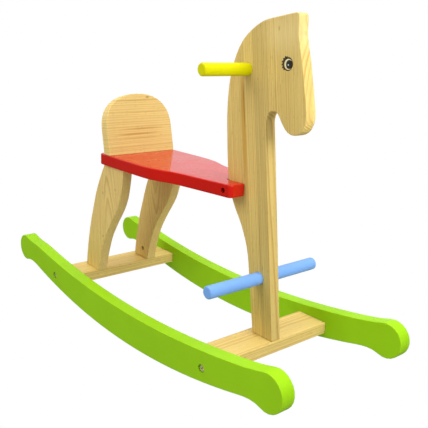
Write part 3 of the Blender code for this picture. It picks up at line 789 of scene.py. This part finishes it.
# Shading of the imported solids


class SoftShading(Effect):
    """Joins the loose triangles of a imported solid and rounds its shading.

    Corners closer than a micron become one, edges sharper than the limit stay crisp, and the normals lean
    towards the larger faces, so that flat faces stay flat and rounded edges look round.
    """

    title = "soft shading"
    system = "GeometryNodeTree"
    takes = (Port("Geometry", Kind.GEOMETRY),)
    gives = (Port("Geometry", Kind.GEOMETRY),)
    limit: ClassVar[float] = math.radians(58.0)

    @classmethod
    def wire(cls, w: Wiring, given: Sockets) -> dict[str, Feed]:
        """Wires the join, then smooth faces, then smooth edges where the surface turns gently."""
        merged = w.node("GeometryNodeMergeByDistance", {"Geometry": given["Geometry"], "Distance": 1e-6})
        turn = w.node("GeometryNodeInputMeshEdgeAngle").outputs["Unsigned Angle"]
        gentle = w.node("FunctionNodeCompare", {0: turn, 1: cls.limit}, operation="LESS_THAN").outputs[0]
        shaded = merged.outputs[0]
        for domain, smooth in (("FACE", True), ("EDGE", gentle)):
            fed = {"Geometry": shaded, "Shade Smooth": smooth}
            shaded = w.node("GeometryNodeSetShadeSmooth", fed, domain=domain).outputs[0]
        return {"Geometry": shaded}

    @classmethod
    def soften(cls, solid: Solid) -> None:
        """Gives a solid its two shading modifiers.

        Args:
            solid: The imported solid's object.
        """
        joined = solid.modifiers.new("soft shading", "NODES")
        joined.node_group = cls.tree()
        leaning_normals = solid.modifiers.new("face-led normals", "WEIGHTED_NORMAL")
        leaning_normals.mode = "FACE_AREA"
        leaning_normals.weight = 100
        leaning_normals.keep_sharp = True


# Meshes worked out on a grid


def ring_surface(rings: Grid) -> tuple[Grid, list[tuple[int, ...]]]:
    """A closed surface through rings of points, ending in a pole at each end.

    The first and the last ring have shrunk to a point. The rings between them are joined by four-sided
    faces, each between one step round and one step along, and the poles by fans of triangles.

    Args:
        rings: Points as an array of ring, step round the ring, and the three coordinates.

    Returns:
        The points and the faces, turned outwards when the rings go round clockwise seen from the last pole.
    """
    count, around = rings.shape[0] - 2, rings.shape[1]
    points = np.concatenate([rings[:1, 0], rings[1:-1].reshape(-1, 3), rings[-1:, 0]])
    ring, step = np.meshgrid(np.arange(count - 1), np.arange(around), indexing="ij")
    after = (step + 1) % around
    near = 1 + ring * around
    far = near + around
    quads = np.stack([near + step, far + step, far + after, near + after], axis=-1)
    turn = np.arange(around)
    following = (turn + 1) % around
    first = np.stack([np.zeros_like(turn), 1 + turn, 1 + following], axis=-1)
    last_ring = 1 + (count - 1) * around
    last = np.stack([last_ring + following, last_ring + turn, np.full_like(turn, len(points) - 1)], axis=-1)
    faces = [*map(tuple, quads.reshape(-1, 4)), *map(tuple, first), *map(tuple, last)]
    return points, [tuple(int(corner) for corner in face) for face in faces]


def steady(radius: float) -> Outline:
    """A radius that is the same at every angle."""
    return lambda angle: np.full_like(angle, radius)


def mesh_object(name: str, points: Grid, faces: list[tuple[int, ...]]) -> Solid:
    """A mesh object at the origin.

    Args:
        name: The object's name.
        points: The mesh's points.
        faces: The corners of each face.

    Returns:
        The new object, linked to the scene.
    """
    mesh = bpy.data.meshes.new(name)
    mesh.from_pydata(points.tolist(), [], faces)
    mesh.polygons.foreach_set("use_smooth", np.ones(len(mesh.polygons), dtype=bool))
    mesh.validate()
    made = bpy.data.objects.new(name, mesh)
    bpy.context.scene.collection.objects.link(made)
    return made


# Sub-assemblies


@dataclass
class Dressing:
    """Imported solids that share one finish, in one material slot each.

    Args:
        label: What they are, for the log.
        nodes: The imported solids' names.
        finish: What they are made of or covered with.
    """

    label: str
    nodes: tuple[str, ...]
    finish: Finish

    def dress(self, solids: Solids) -> None:
        """Puts the finish on each solid and rounds its shading.

        Args:
            solids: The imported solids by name.
        """
        material = self.finish.material()
        for name in self.nodes:
            solid = solids[name]
            solid.data.materials.clear()
            solid.data.materials.append(material)
            SoftShading.soften(solid)
            LOG.info("%s: %s in %s", self.label, name, self.finish.name)


@dataclass
class Rockers:
    """The two painted rockers and the pine boards across them.

    Args:
        lime: Colour of the rockers' paint.
        lime_thin_and_sheen: Its colour on rounded edges, lighter for thinner paint and a painted highlight.
    """

    lime: Colour = (0.33, 0.655, 0.008)
    lime_thin_and_sheen: Colour = (0.50, 0.80, 0.05)

    def build(self, solids: Solids) -> None:
        """Dresses the rockers and the cross boards.

        Args:
            solids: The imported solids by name.
        """
        paint = Paint("lime paint", LENGTHWAYS, self.lime, self.lime_thin_and_sheen, roughness=0.45)
        Dressing("rockers", ("rocker_left", "rocker_right"), paint).dress(solids)
        front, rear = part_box("cross_board_front"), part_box("cross_board_rear")
        for label, (low, high) in (("front", front), ("rear", rear)):
            middle = (low + high) / 2
            lay = Lay(SIDEWAYS.across, SIDEWAYS.along, tuple(middle))
            name, pith = f"{label} cross pine", (0.012, -0.05, 0.0)
            wood = Pine(name, lay, pith=pith, spacing=0.0034, waviness=0.010, contrast=0.55)
            Dressing("cross boards", (f"cross_board_{label}",), wood).dress(solids)


@dataclass
class Seat:
    """The lacquered seat board and the pine backrest on it.

    Args:
        red: Colour of the seat's lacquer.
        red_thin_and_sheen: Its colour on rounded edges, lighter for thinner paint and a painted highlight.
        lean: Lean of the backrest, in degrees.
    """

    red: Colour = (0.60, 0.010, 0.004)
    red_thin_and_sheen: Colour = (0.68, 0.03, 0.012)
    lean: float = 12.0

    def build(self, solids: Solids) -> None:
        """Dresses the seat and the backrest.

        Args:
            solids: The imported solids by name.
        """
        lacquer = Paint(
            "red lacquer", LENGTHWAYS, self.red, self.red_thin_and_sheen, roughness=0.30, specular=0.02,
            coat=0.74, coat_roughness=0.03, peel=0.0, grain=0.3, relief=0.000001,
        )
        Dressing("seat", ("seat_board",), lacquer).dress(solids)
        Dressing("backrest", ("backrest",), self.backrest_pine()).dress(solids)

    def backrest_pine(self) -> Pine:
        """The backrest's wood: grain from side to side, a few dark lines and two small knots."""
        low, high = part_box("backrest")
        lean = math.radians(self.lean)
        lay = Lay((-math.sin(lean), 0.0, math.cos(lean)), (0.0, 1.0, 0.0), (high.x, 0.0, low.z))
        brown, tan = (0.40, 0.20, 0.05), (0.60, 0.34, 0.075)
        lines = (  # up the face, to the left and half width in millimetres, then strength
            (26.0, 0.0, 1.0, 0.8),
            (33.5, -6.0, 2.4, 0.95),
            (42.5, 4.0, 2.0, 0.95),
            (71.0, 10.0, 1.0, 0.8),
            (92.0, 0.0, 1.0, 0.8),
        )
        marks = tuple(
            Mark(lay.point(up, over), width * MILLIMETRE, 0.062, tan, strength, ragged=0.25)
            for up, over, width, strength in lines
        )
        knots = (
            Mark(lay.point(97.0, 22.0), 0.0030, 0.0060, brown, strength=0.7, ragged=0.8),
            Mark(lay.point(33.0, 14.0), 0.0012, 0.0020, brown, strength=0.8),
        )
        return Pine(
            "backrest pine", lay, early=(0.90, 0.69, 0.25), late=(0.62, 0.38, 0.10), pith=(-0.30, -0.05, 0.0),
            spacing=0.0042, waviness=0.006, contrast=0.6, marks=marks + knots,
        )


@dataclass(frozen=True)
class Leg:
    """One of the two pine rear legs, with arches of rings where the saw met the tree at a slant.

    Args:
        side: The horse's side that it is on, left or right.
        arch: Where the middle of its arches runs, fore-aft.
        tilt: How much its grain runs across its thickness, as a slope.
        knots: Its small knots, fore-aft and up, in millimetres.
        arch_top: Height of the arches' zero.
        lean: How much its grain leans back, as a slope.
    """

    side: str
    arch: float
    tilt: float
    knots: tuple[tuple[float, float], ...] = ()
    arch_top: float = 0.19
    lean: float = 0.10

    def build(self, solids: Solids) -> None:
        """Dresses the leg in a figure of its own.

        Args:
            solids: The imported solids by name.
        """
        side = self.side
        low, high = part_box(f"rear_leg_{side}")
        middle = (self.arch, (low.y + high.y) / 2, self.arch_top)
        slant = Lay((1.0, 0.0, self.lean), (-self.lean, self.tilt, 1.0), middle)
        brown = (0.30, 0.15, 0.05)
        knots = tuple(
            Mark((x * MILLIMETRE, low.y, z * MILLIMETRE), 0.0022, 0.0030, brown, strength=0.75, ragged=0.7)
            for x, z in self.knots
        )
        wood = Pine(
            f"{side} leg pine", slant, early=(0.88, 0.66, 0.24), late=(0.56, 0.33, 0.08),
            pith=(0.0, -0.080, 0.0), spacing=0.0017, waviness=0.0035, contrast=0.62, cloudy=0.18, marks=knots,
        )
        Dressing("rear legs", (f"rear_leg_{side}",), wood).dress(solids)


LEGS = (
    Leg("left", arch=-0.150, tilt=0.032),
    Leg("right", arch=-0.141, tilt=-0.032, knots=((-157.2, 199.3), (-116.8, 213.1), (-158.2, 118.7))),
)


@dataclass
class HeadBoard:
    """The glued-up head board, its painted dowels and its printed eyes.

    Args:
        lean: Lean of the board's grain, in degrees.
        yellow: Colour of the handlebar's paint.
        blue: Colour of the footrest's paint.
    """

    lean: float = 7.5
    yellow: Colour = (0.69, 0.665, 0.002)
    blue: Colour = (0.215, 0.43, 0.88)

    def build(self, solids: Solids) -> None:
        """Dresses the board and the dowels, and adds an eye on each side.

        Args:
            solids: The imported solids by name.
        """
        Dressing("head", ("head_board",), self.board_pine()).dress(solids)
        handle = Paint("yellow paint", SIDEWAYS, self.yellow, self.yellow, roughness=0.36, relief=0.00002)
        step = Paint("blue paint", SIDEWAYS, self.blue, self.blue, roughness=0.40, relief=0.00002)
        Dressing("handlebar", ("handlebar",), handle).dress(solids)
        Dressing("footrest", ("footrest",), step).dress(solids)
        low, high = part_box("head_board")
        for side, face in (("right", low.y), ("left", high.y)):
            Eye(side, face).build()

    def board_pine(self) -> Pine:
        """The head board's wood: glued strips, a resin streak, a knot, a few dark marks, and a painted
        highlight on the upper head.
        """
        tones = {120: 0.62, 177: 0.50, 191: 0.62, 210.5: 0.12, 239: 0.60, 263: 0.45, 297: 0.60}
        strips = tuple(Strip(edge * MILLIMETRE, tone) for edge, tone in tones.items())
        # pale is the colour of the painted highlight, a sheen over the upper head.
        resin, pale = (0.62, 0.36, 0.065), (0.86, 0.68, 0.30)
        brown, grey = (0.28, 0.14, 0.04), (0.42, 0.32, 0.12)
        rows = (  # fore-aft, up, half width, half length in millimetres, colour, strength, softness, ragged
            # A large pale patch over the upper head: painted highlight.
            (212.0, 486.0, 62.0, 45.0, pale, 0.6, 0.9),
            (143.0, 350.0, 6.0, 105.0, resin, 0.95, 0.5, 0.25),
            (137.0, 410.0, 5.5, 60.0, resin, 0.30, 0.9),
            (140.8, 382.0, 1.2, 48.0, brown, 0.65, 0.6, 0.3),
            (189.5, 190.0, 0.9, 75.0, brown, 0.45, 0.6, 0.3),
            (197.3, 154.5, 0.8, 8.0, brown, 0.8, 0.5),
            (165.7, 422.3, 1.1, 1.8, brown, 0.8),
            (200.6, 489.9, 1.8, 4.5, brown, 0.45, 0.8, 0.8),
            (194.7, 375.4, 5.5, 6.5, grey, 0.45, 0.9, 0.8),
            (206.5, 195.0, 0.8, 60.0, resin, 0.55, 0.6, 0.3),
        )
        marks = tuple(
            Mark((x * MILLIMETRE, 0.0, z * MILLIMETRE), width * MILLIMETRE, length * MILLIMETRE, *look)
            for x, z, width, length, *look in rows
        )
        return Pine(
            "head pine", leaning(self.lean), pith=(-0.40, -0.15, 0.0), spacing=0.0026, waviness=0.004,
            contrast=0.74, cloudy=0.16, strips=strips, marks=marks,
        )


@dataclass
class Eye:
    """A printed eye: a lashed dark ring, a pale ring, a pupil and a small glint, each a thin closed film.

    Args:
        side: The side of the head, left or right.
        face: Where the head's face is, across the horse.
        centre: Middle of the dark ring, fore-aft and up.
        ring: Radius of the dark ring.
        film: Thickness of one film.
    """

    side: str
    face: float
    centre: tuple[float, float] = (0.2206, 0.4455)
    ring: float = 0.0089
    film: float = 0.00012

    def disc(self, name: str, middle: tuple[float, float], radius: Outline, level: int) -> Solid:
        """One film of the print.

        A point is the middle plus the radius at its angle times its share of the way out. The profile goes
        from the pole underneath out to the rim, up its rounded edge, and back over a low dome.

        Args:
            name: The piece's name.
            middle: Its middle, fore-aft and up.
            radius: The radius for each angle.
            level: How many films lie under it.

        Returns:
            The new object.
        """
        outward = math.copysign(1.0, self.face)
        angle = np.linspace(0.0, 2 * math.pi, 96, endpoint=False) * outward
        share = np.array([0.0, 0.5, 0.985, 1.0, 1.0, 0.985, 0.8, 0.5, 0.0])
        height = np.array([0.02, 0.02, 0.02, 0.25, 0.7, 0.95, 1.0, 1.0, 1.0]) + level
        reach = share[:, None] * radius(angle % (2 * math.pi))[None, :]
        x = middle[0] + reach * np.cos(angle)
        z = middle[1] + reach * np.sin(angle)
        y = np.broadcast_to(self.face + outward * height[:, None] * self.film, x.shape)
        points, faces = ring_surface(np.stack([x, y, z], axis=-1))
        return mesh_object(f"eye_{self.side}_{name}", points, faces)

    def lashes(self, angle: Grid) -> Grid:
        """Radius of the lashed ring: steady, with pointed teeth over its rear side, from top to bottom."""
        turn = np.degrees(angle)
        window = np.clip((turn - 95.0) / 14.0, 0.0, 1.0) * np.clip((240.0 - turn) / 14.0, 0.0, 1.0)
        tooth = np.abs(((turn - 99.0) / 22.0) % 1.0 - 0.5) * 2.0
        return self.ring * (1.0 + window * (0.06 + 0.27 * tooth))

    def build(self) -> None:
        """Builds the four films and dresses them."""
        x, z = self.centre
        dark = Ink("eye brown", (0.035, 0.022, 0.008), (0.10, 0.065, 0.02))
        pale = Ink("eye cream", (0.86, 0.76, 0.48), (0.72, 0.60, 0.33))
        black = Ink("eye black", (0.006, 0.006, 0.006), (0.016, 0.014, 0.012), roughness=0.4, coat=0.15)
        glint = Ink("eye white", (0.75, 0.78, 0.82), (0.55, 0.58, 0.62))
        films = (
            ("ring", (x, z), self.lashes, dark),
            ("iris", (x + 0.0009, z - 0.0004), steady(0.00705), pale),
            ("pupil", (x + 0.0027, z - 0.0005), steady(0.00575), black),
            ("glint", (x + 0.0012, z - 0.0012), steady(0.0010), glint),
        )
        for level, (name, middle, radius, ink) in enumerate(films):
            piece = self.disc(name, middle, radius, level)
            piece.data.materials.append(ink.material())
            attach(piece, BODY)
            LOG.info("eye: %s", piece.name)


@dataclass
class Fixings:
    """Bolts, nuts, screws and pins.

    Args:
        metal_words: Words in the names of the fixings that are metal.
    """

    metal_words: tuple[str, ...] = ("bolt", "nut", "screw")

    def build(self, solids: Solids) -> None:
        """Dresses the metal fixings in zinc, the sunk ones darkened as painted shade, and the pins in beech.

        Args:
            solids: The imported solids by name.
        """
        metal = tuple(name for name in sorted(solids) if any(word in name for word in self.metal_words))
        sunk = tuple(name for name in metal if "nut" in name or name == "seat_bolt")
        pins = tuple(name for name in sorted(solids) if "pin" in name)
        bright = tuple(name for name in metal if name not in sunk)
        Dressing("bolts and screws", bright, Zinc("yellow zinc")).dress(solids)
        # Nuts and the seat bolt sit deep in their holes: their dark brown zinc is painted shade.
        black = Zinc("painted shade zinc", (0.10, 0.07, 0.045), (0.05, 0.03, 0.02))
        Dressing("sunk fixings", sunk, black).dress(solids)
        early, late = (0.56, 0.38, 0.20), (0.42, 0.25, 0.12)
        beech = Pine("beech", SIDEWAYS, early=early, late=late, spacing=0.002, contrast=0.3)
        Dressing("pins", pins, beech).dress(solids)


@dataclass(frozen=True)
class Softbox:
    """A soft rectangular lamp.

    Args:
        name: The lamp's name.
        place: Where it stands.
        target: What it points at.
        size: Its side.
        watts: Its power.
    """

    name: str
    place: Point
    target: Point
    size: float
    watts: float

    def build(self) -> None:
        """Adds the lamp to the scene."""
        light = bpy.data.lights.new(self.name, "AREA")
        light.shape = "SQUARE"
        light.size = self.size
        light.energy = self.watts
        lamp = bpy.data.objects.new(self.name, light)
        lamp.location = self.place
        lamp.rotation_euler = (Vector(self.target) - Vector(self.place)).to_track_quat("-Z", "Y").to_euler()
        bpy.context.scene.collection.objects.link(lamp)


@dataclass
class Studio:
    """The floor, the light and the camera.

    Args:
        backdrop: Brightness of the white wall behind the horse.
        room: Brightness of the room in front of it.
        bounce: Brightness of the floor, as light.
        mirrored: Share of the room's and the floor's brightness that glossy surfaces mirror.
        floor_half: Half the side of the floor.
        floor_drop: How far the floor lies under the rockers.
        lamps: The softboxes.
        turn: Camera's angle round the horse, in degrees.
        rise: How far the camera looks down, in degrees.
        roll: Camera's tilt, in degrees.
        eye: Where the camera stands.
        focal_share: Focal length as a share of the picture's width.
    """

    backdrop: float = 0.95
    room: float = 0.22
    bounce: float = 0.56
    mirrored: float = 0.20
    floor_half: float = 6.0
    floor_drop: float = 0.0006
    lamps: tuple[Softbox, ...] = (
        Softbox("side softbox", (-0.1, -1.7, 1.35), (0.05, 0.0, 0.25), 1.1, 18.0),
        Softbox("front softbox", (1.75, -0.15, 1.15), (0.1, 0.0, 0.3), 1.1, 15.5),
        Softbox("top softbox", (0.1, 0.1, 2.1), (0.0, 0.0, 0.2), 1.6, 18.5),
        Softbox("head softbox", (0.85, 0.12, 0.66), (0.2, 0.0, 0.45), 0.35, 2.8),
    )
    turn: float = 49.344
    rise: float = 15.504
    roll: float = 2.340
    eye: Point = (0.819077, -0.639474, 0.478384)
    focal_share: float = 645.558 / 428.0

    def build(self) -> None:
        """Builds the surroundings."""
        view = bpy.context.scene.view_settings
        view.view_transform = "Standard"
        view.look = "None"
        self.world()
        self.floor()
        for lamp in self.lamps:
            lamp.build()
        self.camera()

    def dimmed(self, w: Wiring, rays: Sockets, brightness: float) -> Socket:
        """A brightness that glossy surfaces mirror only in part."""
        return w.times(brightness, w.step(rays["Is Glossy Ray"], 0.0, 1.0, 1.0, self.mirrored))

    def world(self) -> None:
        """A white room that is lit behind the horse and dim in front; the lens sees it all white."""
        world = bpy.data.worlds.new("white room")
        bpy.context.scene.world = world
        w = fresh_wiring(world)
        way = w.node("ShaderNodeTexCoord").outputs["Generated"]
        turn = math.radians(self.turn)
        behind = (-math.sin(turn), math.cos(turn), 0.25)
        rays = w.node("ShaderNodeLightPath").outputs
        dim = self.dimmed(w, rays, self.room)
        light = w.step(w.dot(way, behind), 0.05, 0.60, dim, self.backdrop)
        strength = w.math("MAXIMUM", rays["Is Camera Ray"], light)
        w.node("ShaderNodeOutputWorld", {"Surface": w.glow("ShaderNodeBackground", strength)})

    def floor(self) -> None:
        """A plain pale floor that glows softly, as a lit white sweep does."""
        side = self.floor_half
        corners = np.array([(-side, -side, 0.0), (side, -side, 0.0), (side, side, 0.0), (-side, side, 0.0)])
        floor = mesh_object("floor", corners - np.array([0.0, 0.0, self.floor_drop]), [(0, 1, 2, 3)])
        made = bpy.data.materials.new("pale floor")
        w = fresh_wiring(made)
        rays = w.node("ShaderNodeLightPath").outputs
        strength = w.math("MAXIMUM", rays["Is Camera Ray"], self.dimmed(w, rays, self.bounce))
        w.node("ShaderNodeOutputMaterial", {"Surface": w.glow("ShaderNodeEmission", strength)})
        floor.data.materials.append(made)

    def camera(self) -> None:
        """A three-quarter view from the horse's right front, tilted a little."""
        turn, rise, roll = (math.radians(angle) for angle in (self.turn, self.rise, self.roll))
        ahead = Vector((-math.sin(turn) * math.cos(rise), math.cos(turn) * math.cos(rise), -math.sin(rise)))
        level = Vector((math.cos(turn), math.sin(turn), 0.0))
        up = level.cross(ahead)
        right = level * math.cos(roll) + up * math.sin(roll)
        top = up * math.cos(roll) - level * math.sin(roll)
        data = bpy.data.cameras.new("camera")
        data.sensor_width = 36.0
        data.lens = data.sensor_width * self.focal_share
        data.clip_start, data.clip_end = 0.01, 50.0
        camera = bpy.data.objects.new("camera", data)
        turned = Matrix((right, top, -ahead)).transposed().to_4x4()
        camera.matrix_world = Matrix.Translation(self.eye) @ turned
        bpy.context.scene.collection.objects.link(camera)
        bpy.context.scene.camera = camera


def main() -> None:
    """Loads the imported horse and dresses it, sub-assembly by sub-assembly."""
    logging.basicConfig(level=logging.INFO, format="%(name)s %(message)s")
    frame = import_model()
    solids = frame["nodes"]
    for unit in (Rockers(), Seat(), *LEGS, HeadBoard(), Fixings()):
        unit.build(solids)
    Studio().build()


if __name__ == "__main__":
    main()
